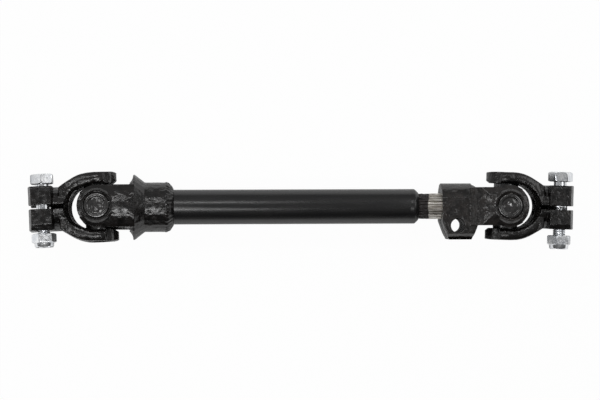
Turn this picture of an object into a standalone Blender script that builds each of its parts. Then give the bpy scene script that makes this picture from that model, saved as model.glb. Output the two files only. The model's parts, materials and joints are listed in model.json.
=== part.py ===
"""Telescoping steering shaft with a universal joint and a splined clamp at each end.

The shaft's axis is X. Each yoke is modelled in a frame of its own: the joint's centre at 0,
the ears on Y, the stem toward +X, and the clamp's lugs, where it has them, toward +Z.
"""
import math
from dataclasses import dataclass

import bmesh
import bpy
from mathutils import Matrix, Vector

MM = 0.001

# The whole shaft: where its joints stand and how they lie
JOINT_SPACING = 248.4 * MM
JOINT_PHASE = math.radians(4.0)
LEFT_FLEX = math.radians(2.5)
RIGHT_FLEX = math.radians(-1.8)
FLEX_LIMIT = math.radians(22.0)
RELIEF_ANGLE = FLEX_LIMIT + math.radians(2.0)
FITTED_GAP = 0.3 * MM
SWEEP_GAP = 0.5 * MM

# How far a tool solid runs past the faces that it cuts
OVERCUT = 2.0 * MM

# Needle bearings and crosses
TRUNNION_RADIUS = 4.3 * MM
NEEDLE_DIAMETER = 1.5 * MM
NEEDLE_COUNT = 16
CUP_SIDE_WALL = 1.1 * MM
CUP_END_WALL = 1.8 * MM
CUP_LENGTH = 10.0 * MM
CUP_DISH_RADIUS = 5.4 * MM
CUP_DISH_DEPTH = 0.5 * MM
CUP_EDGE = 0.4 * MM
CUP_RECESS = 0.8 * MM
STAKE_RADIUS = 8.9 * MM
SEAL_THICKNESS = 1.2 * MM
CROSS_SHOULDER = 2.3 * MM
TRUNNION_CHAMFER = 0.5 * MM

# Telescoping tube and splined shaft
TUBE_RADIUS = 10.6 * MM
TUBE_WALL = 1.5 * MM
TUBE_END_PLACE = 70.2 * MM
TUBE_END_CHAMFER = 2.3 * MM
TUBE_LIP = 0.3 * MM
TUBE_MOUTH_TAPER = 1.2 * MM
SPLINE_RADIUS = 7.8 * MM
SPLINE_DEPTH = 1.0 * MM
SPLINE_COUNT = 24
SHAFT_ENGAGEMENT = 51.0 * MM
SLEEVE_LENGTH = 42.0 * MM
SPIGOT_LENGTH = 14.0 * MM
SHAFT_END_ROOM = 2.0 * MM

# Pinch bolts and lock nuts
BOLT_RADIUS = 3.95 * MM
BOLT_LENGTH = 38.0 * MM
HEX_ACROSS_FLATS = 13.0 * MM
HEX_CHAMFER = 0.9 * MM
HEAD_HEIGHT = 5.9 * MM
NUT_HEIGHT = 8.2 * MM
NUT_COLLAR_HEIGHT = 2.6 * MM
NUT_COLLAR_RADIUS = 5.9 * MM
LOCK_RING_THICKNESS = 1.7 * MM
LOCK_RING_WALL = 0.9 * MM
HOLE_CLEARANCE = 0.3 * MM
BOLT_LEAD = 0.8 * MM

# The round of an ear goes up to this share of its radius at most, where the neck takes over
EAR_ROUND_SHARE = 0.98

# The tip of an ear: rounded outside over this share of its thickness, bevelled inside
EAR_NOSE_SHARE = 0.3
EAR_LIP_LENGTH = 3.2 * MM
EAR_LIP_RISE = 1.8 * MM

ROUND_SEGMENTS = 26
SMALL_SEGMENTS = 18
ARC_STEPS = 8


@dataclass(frozen=True)
class Fork:
    """The two ears of a yoke and the web that joins them."""

    saddle_radius: float
    saddle_place: float
    ear_outer: float
    ear_radius: float
    ear_reach: float
    neck_half_width: float
    shoulder: float
    web_end: float
    web_end_radius: float


@dataclass(frozen=True)
class Clamp:
    """The slit hub of a yoke, with its pinch-bolt lugs."""

    barrel_radius: float
    neck_radius: float
    hub_proud: float
    flank_inset: float
    bore_radius: float
    pilot_radius: float
    bore_start: float
    start: float
    lug_start: float
    end: float
    lug_reach: float
    lug_bevel: float
    lug_bevel_drop: float
    bolt_place: float
    bolt_height: float
    slit_width: float
    slit_offset: float
    slit_start: float
    back_slit_length: float
    head_side: int

    @property
    def lug_half_height(self):
        """The lugs' flanks lie a little inside the round of the hub, whatever its radius."""
        return self.barrel_radius + self.hub_proud - self.flank_inset


LEFT_CLAMP_FORK = Fork(
    saddle_radius=13.8 * MM,
    saddle_place=2.0 * MM,
    ear_outer=20.7 * MM,
    ear_radius=12.3 * MM,
    ear_reach=12.3 * MM,
    neck_half_width=11.8 * MM,
    shoulder=3.0 * MM,
    web_end=22.5 * MM,
    web_end_radius=12.5 * MM,
)
TUBE_FORK = Fork(
    saddle_radius=14.3 * MM,
    saddle_place=0.0,
    ear_outer=20.8 * MM,
    ear_radius=12.5 * MM,
    ear_reach=11.7 * MM,
    neck_half_width=12.7 * MM,
    shoulder=16.0 * MM,
    web_end=22.6 * MM,
    web_end_radius=19.9 * MM,
)
SHAFT_FORK = Fork(
    saddle_radius=14.3 * MM,
    saddle_place=0.0,
    ear_outer=20.8 * MM,
    ear_radius=12.7 * MM,
    ear_reach=11.5 * MM,
    neck_half_width=11.5 * MM,
    shoulder=6.0 * MM,
    web_end=23.5 * MM,
    web_end_radius=12.9 * MM,
)
RIGHT_CLAMP_FORK = Fork(
    saddle_radius=13.7 * MM,
    saddle_place=3.8 * MM,
    ear_outer=20.6 * MM,
    ear_radius=12.3 * MM,
    ear_reach=12.3 * MM,
    neck_half_width=11.8 * MM,
    shoulder=3.0 * MM,
    web_end=22.0 * MM,
    web_end_radius=12.5 * MM,
)
LEFT_CLAMP = Clamp(
    barrel_radius=13.4 * MM,
    neck_radius=13.4 * MM,
    hub_proud=0.2 * MM,
    flank_inset=0.4 * MM,
    bore_radius=8.6 * MM,
    pilot_radius=6.0 * MM,
    bore_start=20.0 * MM,
    start=17.5 * MM,
    lug_start=25.8 * MM,
    end=40.7 * MM,
    lug_reach=17.5 * MM,
    lug_bevel=3.6 * MM,
    lug_bevel_drop=1.5 * MM,
    bolt_place=32.1 * MM,
    bolt_height=11.2 * MM,
    slit_width=2.6 * MM,
    slit_offset=-0.9 * MM,
    slit_start=19.6 * MM,
    back_slit_length=12.0 * MM,
    head_side=-1,
)
SHAFT_CLAMP = Clamp(
    barrel_radius=13.4 * MM,
    neck_radius=11.3 * MM,
    hub_proud=0.5 * MM,
    flank_inset=1.0 * MM,
    bore_radius=SPLINE_RADIUS + FITTED_GAP,
    pilot_radius=6.0 * MM,
    bore_start=10.0 * MM,
    start=16.6 * MM,
    lug_start=21.6 * MM,
    end=40.2 * MM,
    lug_reach=20.2 * MM,
    lug_bevel=1.2 * MM,
    lug_bevel_drop=1.2 * MM,
    bolt_place=31.0 * MM,
    bolt_height=11.7 * MM,
    slit_width=2.2 * MM,
    slit_offset=0.0,
    slit_start=21.0 * MM,
    back_slit_length=0.0,
    head_side=1,
)
RIGHT_CLAMP = Clamp(
    barrel_radius=13.3 * MM,
    neck_radius=13.3 * MM,
    hub_proud=0.2 * MM,
    flank_inset=0.3 * MM,
    bore_radius=8.6 * MM,
    pilot_radius=6.0 * MM,
    bore_start=20.0 * MM,
    start=19.0 * MM,
    lug_start=24.3 * MM,
    end=39.7 * MM,
    lug_reach=17.5 * MM,
    lug_bevel=2.8 * MM,
    lug_bevel_drop=1.2 * MM,
    bolt_place=31.3 * MM,
    bolt_height=11.2 * MM,
    slit_width=2.4 * MM,
    slit_offset=-0.3 * MM,
    slit_start=19.6 * MM,
    back_slit_length=0.0,
    head_side=1,
)

# The small bevel along the lugs' edge on the side of the bolt's head
LUG_EDGE = 0.8 * MM

# The lugs of the shaft yoke slant at their free end, and run to a knee on the fork's side
LUG_TAPER_HEIGHT = 9.3 * MM
LUG_TAPER_LENGTH = 4.2 * MM
LUG_RIDGE_HEIGHT = 2.9 * MM
LUG_KNEE_HEIGHT = 12.2 * MM
LUG_KNEE_LENGTH = 2.6 * MM
LUG_HEEL_LENGTH = 3.2 * MM

# The tube yoke behind its fork: flange, cone, barrel and weld taper
FLANGE_PLACE = 21.6 * MM
FLANGE_RADIUS = 19.8 * MM
CONE_END = 28.6 * MM
BARREL_RADIUS = 15.0 * MM
BARREL_END = 40.8 * MM
WELD_END = 46.0 * MM
FLANGE_FILLET = 6.7 * MM

# How far each bolt and nut stands off its lugs, and how its hexagon is turned
LEFT_HEAD_GAP = 1.4 * MM
LEFT_NUT_GAP = 1.8 * MM
RIGHT_HEAD_GAP = 2.4 * MM
RIGHT_NUT_GAP = 3.8 * MM
LEFT_HEAD_TURN = math.radians(-2.5)
LEFT_NUT_TURN = math.radians(39.0)
RIGHT_HEAD_TURN = math.radians(26.0)
RIGHT_NUT_TURN = math.radians(40.0)

CUP_RADIUS = TRUNNION_RADIUS + NEEDLE_DIAMETER + 2 * FITTED_GAP + CUP_SIDE_WALL

# Which way each arm of a cross points: a turn about X from the camera's side
ARM_TURNS = {
    "front": 0.0,
    "rear": math.pi,
    "top": -math.pi / 2,
    "bottom": math.pi / 2,
}

FLAT_XY = Matrix.Identity(4)
FLAT_XZ = Matrix.Rotation(math.pi / 2, 4, "X")
FLAT_YZ = Matrix(((0, 0, 1, 0), (1, 0, 0, 0), (0, 1, 0, 0), (0, 0, 0, 1)))


def clear_scene():
    for leftover in list(bpy.data.objects):
        bpy.data.objects.remove(leftover, do_unlink=True)


def new_collection(name):
    collection = bpy.data.collections.new(name)
    bpy.context.scene.collection.children.link(collection)
    return collection


clear_scene()
PARTS = new_collection("steering_shaft")
CUTTERS = new_collection("cutters")


def finish_material(name, colour, roughness, metallic):
    material = bpy.data.materials.new(name)
    material.use_nodes = True
    shader = material.node_tree.nodes["Principled BSDF"]
    shader.inputs["Base Color"].default_value = (*colour, 1.0)
    shader.inputs["Roughness"].default_value = roughness
    shader.inputs["Metallic"].default_value = metallic
    return material


BLACK_PAINT = finish_material("black_paint", (0.022, 0.021, 0.022), 0.42, 0.0)
BRIGHT_ZINC = finish_material("bright_zinc", (0.78, 0.78, 0.77), 0.25, 1.0)
BARE_STEEL = finish_material("bare_steel", (0.45, 0.44, 0.42), 0.38, 1.0)
CUP_STEEL = finish_material("cup_steel", (0.28, 0.27, 0.26), 0.35, 1.0)
BLACK_RUBBER = finish_material("black_rubber", (0.015, 0.015, 0.015), 0.7, 0.0)
NYLON = finish_material("nylon", (0.75, 0.77, 0.80), 0.5, 0.0)


def place(piece, parent, collection):
    collection.objects.link(piece)
    piece.parent = parent
    return piece


def frame_empty(name, parent, location=(0.0, 0.0, 0.0), turn=None):
    """An empty that carries pieces: a joint, a cross or a yoke's own frame."""
    empty = bpy.data.objects.new(name, None)
    empty.empty_display_size = 20 * MM
    place(empty, parent, PARTS)
    empty.matrix_local = Matrix.Translation(location) @ (turn or Matrix.Identity(4))
    return empty


def shown(piece, parent, material, turn=None):
    """Put a finished piece among the parts, with its material."""
    place(piece, parent, PARTS)
    piece.matrix_local = turn or Matrix.Identity(4)
    piece.data.materials.clear()
    piece.data.materials.append(material)
    return piece


def hidden(piece, parent, turn=None):
    """Put a tool solid among the cutters, out of sight."""
    place(piece, parent, CUTTERS)
    piece.matrix_local = turn or Matrix.Identity(4)
    piece.hide_render = True
    piece.display_type = "WIRE"
    return piece


def boolean(piece, tool, operation):
    modifier = piece.modifiers.new(tool.name, "BOOLEAN")
    modifier.object = tool
    modifier.operation = operation
    modifier.solver = "EXACT"


def mesh_object(name, build):
    """A mesh object whose shape `build` makes in a bmesh."""
    shape = bmesh.new()
    build(shape)
    mesh = bpy.data.meshes.new(name)
    shape.to_mesh(mesh)
    shape.free()
    return bpy.data.objects.new(name, mesh)


def block(name, low, high):
    """A box between two corners."""
    low = Vector(low)
    high = Vector(high)
    size = Matrix.Diagonal((*(high - low), 1.0))

    def build(shape):
        bmesh.ops.create_cube(shape, size=1.0, matrix=Matrix.Translation((low + high) / 2) @ size)

    return mesh_object(name, build)


def rod(name, radius, low, high, axis, centre=(0.0, 0.0, 0.0), segments=ROUND_SEGMENTS):
    """A plain cylinder along one axis, from `low` to `high`, through `centre`."""
    along = Vector({"X": (1, 0, 0), "Y": (0, 1, 0), "Z": (0, 0, 1)}[axis])
    turn = along.to_track_quat("Z", "Y").to_matrix().to_4x4()
    middle = Vector(centre) + along * (low + high) / 2

    def build(shape):
        bmesh.ops.create_cone(
            shape,
            cap_ends=True,
            segments=segments,
            radius1=radius,
            radius2=radius,
            depth=high - low,
            matrix=Matrix.Translation(middle) @ turn,
        )

    piece = mesh_object(name, build)
    smooth(piece)
    return piece


def smooth(piece):
    piece.data.shade_smooth()
    piece.data.set_sharp_from_angle(angle=math.radians(35))


def turned(name, profile, segments=ROUND_SEGMENTS):
    """A solid turned about its own Z, from (radius, height) points that run down its outside.

    A profile that starts on the axis ends on it; any other profile is a ring and closes on itself.
    """
    ring = profile[0][0] > 0.0
    count = len(profile)
    edges = [(index, index + 1) for index in range(count - 1)]
    if ring:
        edges.append((count - 1, 0))
    mesh = bpy.data.meshes.new(name)
    mesh.from_pydata([(radius, 0.0, height) for radius, height in profile], edges, [])
    piece = bpy.data.objects.new(name, mesh)
    screw = piece.modifiers.new("turn", "SCREW")
    screw.steps = segments
    screw.render_steps = segments
    screw.use_merge_vertices = True
    screw.merge_threshold = 0.00001
    screw.use_smooth_shade = True
    return piece


def extruded(name, outlines, low, high, plane):
    """One or more closed outlines, the inner ones holes, filled and given a thickness."""
    curve = bpy.data.curves.new(name, "CURVE")
    curve.dimensions = "2D"
    curve.fill_mode = "BOTH"
    curve.extrude = (high - low) / 2
    for outline in outlines:
        spline = curve.splines.new("POLY")
        spline.points.add(len(outline) - 1)
        for point, (across, up) in zip(spline.points, outline):
            point.co = (across, up, 0.0, 1.0)
        spline.use_cyclic_u = True
    holder = bpy.data.objects.new(name, curve)
    bpy.context.scene.collection.objects.link(holder)
    depsgraph = bpy.context.evaluated_depsgraph_get()
    mesh = bpy.data.meshes.new_from_object(holder.evaluated_get(depsgraph))
    bpy.data.objects.remove(holder, do_unlink=True)
    shape = bmesh.new()
    shape.from_mesh(mesh)
    bmesh.ops.remove_doubles(shape, verts=shape.verts, dist=0.000001)
    bmesh.ops.recalc_face_normals(shape, faces=shape.faces)
    shape.to_mesh(mesh)
    shape.free()
    mesh.transform(plane @ Matrix.Translation((0.0, 0.0, (low + high) / 2)))
    piece = bpy.data.objects.new(name, mesh)
    smooth(piece)
    return piece


def arc(centre, radius, start, end, steps=ARC_STEPS):
    """Points along an arc, from one angle to another, both in degrees."""
    angles = [math.radians(start + (end - start) * step / steps) for step in range(steps + 1)]
    return [(centre[0] + radius * math.cos(a), centre[1] + radius * math.sin(a)) for a in angles]


def sweep_curve(start, leave, arrive, end, steps=ARC_STEPS):
    """Points along a cubic curve from `start` to `end`, with its two handles between them."""
    points = []
    for step in range(steps + 1):
        t = step / steps
        weights = ((1 - t) ** 3, 3 * t * (1 - t) ** 2, 3 * t * t * (1 - t), t ** 3)
        knots = (start, leave, arrive, end)
        points.append(tuple(sum(w * knot[i] for w, knot in zip(weights, knots)) for i in (0, 1)))
    return points


def fork_side(fork):
    """The fork's horseshoe outline, seen along Z: ears above and below, web on the right."""
    tip = -fork.ear_reach - OVERCUT / 2
    nose = EAR_NOSE_SHARE * (fork.ear_outer - fork.saddle_radius)
    span = fork.web_end - fork.shoulder
    rise = fork.ear_outer - fork.web_end_radius
    outer = sweep_curve(
        (fork.web_end, fork.web_end_radius),
        (fork.web_end - 0.28 * span, fork.web_end_radius + 0.42 * rise),
        (fork.shoulder + 0.45 * span, fork.ear_outer),
        (fork.shoulder, fork.ear_outer),
    )
    ear_end = sweep_curve(
        (tip + 2 * nose, fork.ear_outer),
        (tip + 0.8 * nose, fork.ear_outer),
        (tip, fork.ear_outer - 0.4 * nose),
        (tip, fork.ear_outer - nose),
        4,
    )
    lip = EAR_LIP_RISE * (1 + (-fork.ear_reach - tip) / EAR_LIP_LENGTH)
    bevel = [(tip, fork.saddle_radius + lip), (EAR_LIP_LENGTH - fork.ear_reach, fork.saddle_radius)]
    upper = outer + ear_end + bevel
    saddle = arc((fork.saddle_place, 0.0), fork.saddle_radius, 90, -90, 2 * ARC_STEPS + 1)
    return upper + saddle + [(across, -up) for across, up in reversed(upper)]


def fork_plan(fork):
    """The fork's outline seen along Y: a rounded ear, then a neck that runs to the web's end."""
    narrow = min(EAR_ROUND_SHARE, fork.neck_half_width / fork.ear_radius)
    meet = math.degrees(math.asin(narrow))
    round_ear = arc((0.0, 0.0), fork.ear_radius, 180, meet)
    blunt = fork.ear_reach / fork.ear_radius
    half = [(across * (blunt if across < 0.0 else 1.0), up) for across, up in round_ear]
    half += [
        (0.8 * fork.ear_radius, fork.neck_half_width),
        (fork.web_end + OVERCUT, fork.neck_half_width),
    ]
    return half + [(across, -up) for across, up in reversed(half[1:])]


def yoke_body(name, frame, fork):
    """The fork alone: its side outline, trimmed to its plan."""
    width = fork.ear_radius + OVERCUT
    body = extruded(name, [fork_side(fork)], -width, width, FLAT_XY)
    reach = fork.ear_outer + OVERCUT
    plan = hidden(extruded(name + "_plan", [fork_plan(fork)], -reach, reach, FLAT_XZ), frame)
    boolean(body, plan, "INTERSECT")
    return body


def bore_ears(body, name, frame, fork):
    """Cut the bearing bore through both ears, with the stepped mouths where the cups are staked."""
    reach = fork.ear_outer + OVERCUT
    floor = fork.ear_outer - CUP_RECESS
    bore = CUP_RADIUS + FITTED_GAP
    upper = [(0.0, reach), (STAKE_RADIUS, reach), (STAKE_RADIUS, floor), (bore, floor)]
    lower = [(radius, -height) for radius, height in reversed(upper)]
    cutter = turned(name + "_ear_bore", upper + lower)
    boolean(body, hidden(cutter, frame, Matrix.Rotation(math.pi / 2, 4, "X")), "DIFFERENCE")


def relieve(body, name, frame, partner):
    """Cut the web where the other yoke's round ears swing in at full flex."""
    inner = partner.saddle_radius - SWEEP_GAP
    outer = partner.ear_outer + SWEEP_GAP
    radius = partner.ear_radius + SWEEP_GAP
    for side in (-1, 1):
        low, high = sorted((side * inner, side * outer))
        ear = rod(name + "_relief", radius, low, high, "Z")
        swing = Matrix.Rotation(side * RELIEF_ANGLE, 4, "Y")
        boolean(body, hidden(ear, frame, swing), "DIFFERENCE")


def hub_outline(clamp):
    """The hub's section seen along X: a round back, flat-sided lugs and their bevels."""
    half = clamp.lug_half_height
    back_radius = clamp.barrel_radius + clamp.hub_proud
    flank = math.degrees(math.acos(half / back_radius))
    back = arc((0.0, 0.0), back_radius, -flank, -180 + flank, 2 * ARC_STEPS)
    top = clamp.lug_reach
    nut_side = [(-half, top - clamp.lug_bevel_drop), (-half + clamp.lug_bevel, top)]
    bolt_side = [(half - LUG_EDGE, top), (half, top - LUG_EDGE)]
    return [(clamp.head_side * across, up) for across, up in back + nut_side + bolt_side]


def dressed_side(clamp):
    """The outline of the shaft yoke's lugs seen along Y: a slant at the free end and a knee."""
    low = -clamp.barrel_radius - clamp.hub_proud - OVERCUT
    high = clamp.lug_reach + OVERCUT
    steep = (clamp.lug_reach - LUG_TAPER_HEIGHT) / LUG_TAPER_LENGTH
    knee = clamp.lug_start - LUG_KNEE_LENGTH
    lean = LUG_HEEL_LENGTH / (clamp.lug_reach - LUG_KNEE_HEIGHT)
    return [
        (clamp.lug_start, low),
        (clamp.end + OVERCUT, low),
        (clamp.end + OVERCUT, LUG_TAPER_HEIGHT - OVERCUT * steep),
        (clamp.end - (high - LUG_TAPER_HEIGHT) / steep, high),
        (knee + (high - LUG_KNEE_HEIGHT) * lean, high),
        (knee, LUG_KNEE_HEIGHT),
        (clamp.lug_start, LUG_RIDGE_HEIGHT),
    ]


def add_clamp(body, name, frame, clamp, dressed):
    """Join the slit hub and its lugs to a fork, then cut the bore, the slit and the bolt hole."""
    reach = clamp.lug_half_height + OVERCUT
    inside_lugs = clamp.lug_start + OVERCUT
    before_lugs = clamp.lug_start + LUG_EDGE / 2
    barrel = turned(
        name + "_barrel",
        [
            (0.0, -clamp.start),
            (clamp.neck_radius, -clamp.start),
            (clamp.barrel_radius, -before_lugs),
            (clamp.lug_half_height - LUG_EDGE, -inside_lugs),
            (0.0, -inside_lugs),
        ],
    )
    boolean(body, hidden(barrel, frame, Matrix.Rotation(-math.pi / 2, 4, "Y")), "UNION")
    lugs_from = clamp.lug_start - OVERCUT - LUG_KNEE_LENGTH if dressed else clamp.lug_start
    lugs = extruded(name + "_lugs", [hub_outline(clamp)], lugs_from, clamp.end, FLAT_YZ)
    if dressed:
        side = extruded(name + "_lug_side", [dressed_side(clamp)], -reach, reach, FLAT_XZ)
        boolean(lugs, hidden(side, frame), "INTERSECT")
    boolean(body, hidden(lugs, frame), "UNION")
    past_end = clamp.end + OVERCUT
    bore = rod(name + "_bore", clamp.bore_radius, clamp.bore_start, past_end, "X")
    boolean(body, hidden(bore, frame), "DIFFERENCE")
    pilot = rod(name + "_pilot", clamp.pilot_radius, 0.0, clamp.end, "X")
    boolean(body, hidden(pilot, frame), "DIFFERENCE")
    low = clamp.slit_offset - clamp.slit_width / 2
    high = clamp.slit_offset + clamp.slit_width / 2
    slit = block(
        name + "_slit",
        (clamp.slit_start, low, 0.0),
        (past_end, high, clamp.lug_reach + OVERCUT),
    )
    boolean(body, hidden(slit, frame), "DIFFERENCE")
    if clamp.back_slit_length:
        back_slit = block(
            name + "_back_slit",
            (clamp.end - clamp.back_slit_length, low, -clamp.barrel_radius - OVERCUT),
            (past_end, high, 0.0),
        )
        boolean(body, hidden(back_slit, frame), "DIFFERENCE")
    hole = rod(
        name + "_bolt_hole",
        BOLT_RADIUS + HOLE_CLEARANCE,
        -reach,
        reach,
        "Y",
        (clamp.bolt_place, 0.0, clamp.bolt_height),
        SMALL_SEGMENTS,
    )
    boolean(body, hidden(hole, frame), "DIFFERENCE")


def clamp_yoke(name, frame, fork, partner, clamp, dressed=False):
    """A forged yoke with a slit clamp hub."""
    body = yoke_body(name, frame, fork)
    shown(body, frame, BLACK_PAINT)
    bore_ears(body, name, frame, fork)
    add_clamp(body, name, frame, clamp, dressed)
    relieve(body, name, frame, partner)


def tube_yoke(name, frame, fork, partner):
    """The yoke that is welded to the tube: fork, round flange, cone, barrel and spigot."""
    body = yoke_body(name, frame, fork)
    shown(body, frame, BLACK_PAINT)
    bore_ears(body, name, frame, fork)
    stem_start = fork.saddle_radius + 0.6 * MM
    fillet_start = FLANGE_PLACE - FLANGE_FILLET
    fillet_radius = FLANGE_RADIUS - FLANGE_FILLET
    fillet = arc((fillet_start, FLANGE_RADIUS), FLANGE_FILLET, -90, 0, 6)
    spigot_radius = TUBE_RADIUS - TUBE_WALL - FITTED_GAP
    slope = WELD_END - BARREL_END
    drop = BARREL_RADIUS - TUBE_RADIUS
    weld = sweep_curve(
        (BARREL_END, BARREL_RADIUS),
        (BARREL_END + 0.4 * slope, BARREL_RADIUS - 0.1 * drop),
        (WELD_END - 0.3 * slope, TUBE_RADIUS + 0.5 * drop),
        (WELD_END, TUBE_RADIUS),
        5,
    )
    outline = [
        (stem_start, 0.0),
        (stem_start, fillet_radius),
        *fillet,
        (FLANGE_PLACE + 0.8 * MM, FLANGE_RADIUS),
        (CONE_END, BARREL_RADIUS),
        *weld,
        (WELD_END, spigot_radius),
        (WELD_END + SPIGOT_LENGTH, spigot_radius),
        (WELD_END + SPIGOT_LENGTH, 0.0),
    ]
    profile = [(radius, -along) for along, radius in outline]
    stem = turned(name + "_stem", profile)
    upright = Matrix.Rotation(-math.pi / 2, 4, "Y")
    boolean(body, hidden(stem, frame, upright), "UNION")
    relieve(body, name, frame, partner)


def cup_end(fork):
    """How far from the joint's centre a cup's closed face lies."""
    return fork.ear_outer - CUP_RECESS


def cup_mouth(fork):
    return cup_end(fork) - CUP_LENGTH


def bearing(prefix, arm, frame, fork):
    """One arm's cup, needle ring and seal."""
    turn = Matrix.Rotation(ARM_TURNS[arm], 4, "X")
    top = cup_end(fork)
    mouth = cup_mouth(fork)
    inner = CUP_RADIUS - CUP_SIDE_WALL
    floor = top - CUP_END_WALL
    cup = turned(
        f"{prefix}_cup_{arm}",
        [
            (0.0, top - CUP_DISH_DEPTH),
            (CUP_DISH_RADIUS - CUP_EDGE, top - CUP_DISH_DEPTH),
            (CUP_DISH_RADIUS, top),
            (CUP_RADIUS - CUP_EDGE, top),
            (CUP_RADIUS, top - CUP_EDGE),
            (CUP_RADIUS, mouth),
            (inner, mouth),
            (inner, floor),
            (0.0, floor),
        ],
        SMALL_SEGMENTS,
    )
    shown(cup, frame, CUP_STEEL, turn)

    needle_inner = TRUNNION_RADIUS + FITTED_GAP
    needle_outer = needle_inner + NEEDLE_DIAMETER
    dip = 0.2 * NEEDLE_DIAMETER
    outer_loop = []
    inner_loop = []
    for step in range(2 * NEEDLE_COUNT):
        angle = math.pi * step / NEEDLE_COUNT
        between = step % 2 * dip
        direction = Vector((math.cos(angle), math.sin(angle)))
        outer_loop.append(direction * (needle_outer - between))
        inner_loop.append(direction * (needle_inner + between))
    needles = extruded(
        f"{prefix}_needles_{arm}",
        [outer_loop, inner_loop],
        mouth + FITTED_GAP,
        floor - FITTED_GAP,
        FLAT_XY,
    )
    shown(needles, frame, BARE_STEEL, turn)

    seal_top = mouth - FITTED_GAP
    seal_bottom = seal_top - SEAL_THICKNESS
    seal = turned(
        f"{prefix}_seal_{arm}",
        [
            (CUP_RADIUS - FITTED_GAP, seal_top),
            (CUP_RADIUS - FITTED_GAP, seal_bottom),
            (needle_inner, seal_bottom),
            (needle_inner, seal_top),
        ],
        SMALL_SEGMENTS,
    )
    shown(seal, frame, BLACK_RUBBER, turn)


def trunnion_profile(fork):
    """Half of one bar of a cross: shoulder, then the ground trunnion with its chamfered end."""
    end = cup_end(fork) - CUP_END_WALL - FITTED_GAP
    shoulder = cup_mouth(fork) - SEAL_THICKNESS - 2 * FITTED_GAP
    return [
        (TRUNNION_RADIUS - TRUNNION_CHAMFER, end),
        (TRUNNION_RADIUS, end - TRUNNION_CHAMFER),
        (TRUNNION_RADIUS, shoulder),
        (TRUNNION_RADIUS + CROSS_SHOULDER, shoulder),
    ]


def cross(prefix, frame, inner_fork, outer_fork):
    """A forged cross: one bar through each yoke's ears."""

    def bar(name, fork):
        half = trunnion_profile(fork)
        end = half[0][1]
        lower = [(radius, -height) for radius, height in reversed(half)]
        return turned(name, [(0.0, end)] + half + lower + [(0.0, -end)], SMALL_SEGMENTS)

    body = bar(f"{prefix}_cross", inner_fork)
    shown(body, frame, BARE_STEEL)
    other = bar(f"{prefix}_cross_bar", outer_fork)
    turn = Matrix.Rotation(math.pi / 2, 4, "X")
    boolean(body, hidden(other, frame, turn), "UNION")


def universal_joint(prefix, joint_frame, cross_frame, inner_fork, outer_fork):
    """The cross of one joint and its four bearings."""
    cross(prefix, cross_frame, inner_fork, outer_fork)
    for arm in ("front", "rear"):
        bearing(prefix, arm, joint_frame, inner_fork)
    for arm in ("top", "bottom"):
        bearing(prefix, arm, cross_frame, outer_fork)


def hexagon(name, height):
    """A hexagonal prism, a little longer than `height` at both ends, one flat toward +X."""
    corner = HEX_ACROSS_FLATS / math.sqrt(3)
    return extruded(name, [arc((0.0, 0.0), corner, 30, 330, 5)], -OVERCUT / 2, height + OVERCUT / 2, FLAT_XY)


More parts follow.
